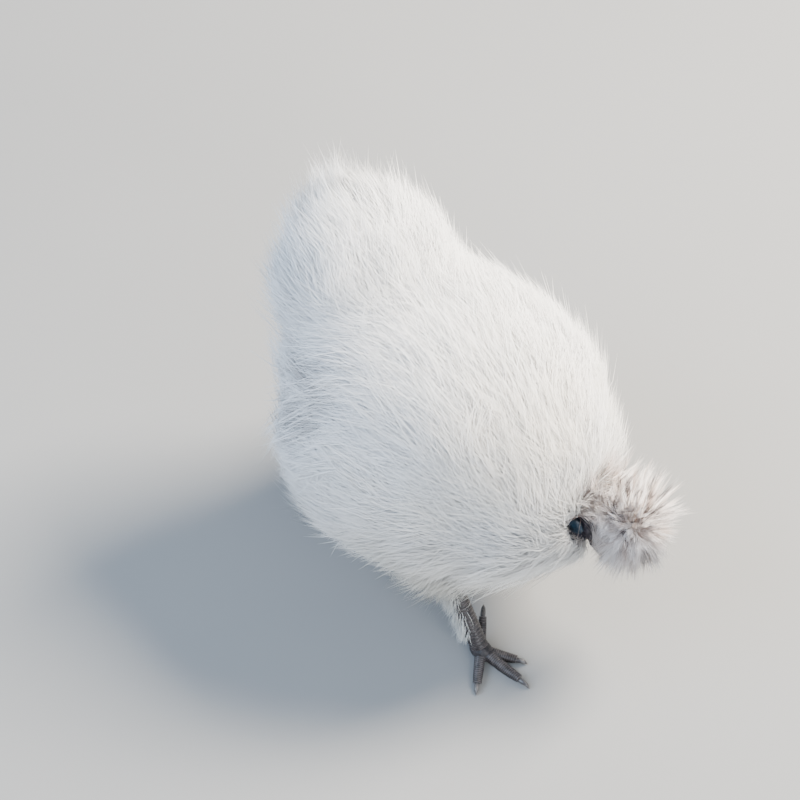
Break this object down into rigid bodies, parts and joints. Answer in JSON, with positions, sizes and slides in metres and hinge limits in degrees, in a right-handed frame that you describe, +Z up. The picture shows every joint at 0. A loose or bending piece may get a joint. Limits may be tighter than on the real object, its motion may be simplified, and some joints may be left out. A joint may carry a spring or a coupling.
{
  "type": "silkie chicken",
  "caption": "Life-size still model of a white silkie hen walking with her head down, with fluffy coat, round crest and five toes.",
  "frame": {"origin": "on the floor under the middle of the whole model's box", "axes": "+X is where the body heads, +Y is the hen's left and +Z is up"},
  "size_m": [0.3124, 0.221, 0.2816],
  "materials": {
    "body_feathers": "long silky white feathers, faintly warm on the neck",
    "crest_feathers": "fine pinkish beige feathers with pale tips",
    "face_skin": "matt blue-black skin with fine wrinkles",
    "ear_lobe": "smooth turquoise skin",
    "bill": "slate-grey horn",
    "eye": "wet dark brown, nearly black",
    "leg_skin": "dark slate-brown scutes, slightly glossy",
    "claw": "grey horn"
  },
  "bodies": {
    "root": {"beak_lower": "bill", "beak_upper": "bill", "claw_left_fifth": "claw", "claw_left_hind": "claw", "claw_left_inner": "claw", "claw_left_middle": "claw", "claw_left_outer": "claw", "claw_right_fifth": "claw", "claw_right_hind": "claw", "claw_right_inner": "claw", "claw_right_middle": "claw", "claw_right_outer": "claw", "comb": "face_skin", "crest": "crest_feathers", "ear_lobe_left": "ear_lobe", "ear_lobe_right": "ear_lobe", "eye_left": "eye", "eye_right": "eye", "foot_left": "leg_skin", "foot_right": "leg_skin", "head": "face_skin", "neck": "body_feathers", "shank_left": "leg_skin", "shank_right": "leg_skin", "tail": "body_feathers", "thigh_left": "body_feathers", "thigh_right": "body_feathers", "torso": "body_feathers", "wattle_left": "face_skin", "wattle_right": "face_skin", "wing_left": "body_feathers", "wing_right": "body_feathers"}
  },
  "joints": []
}
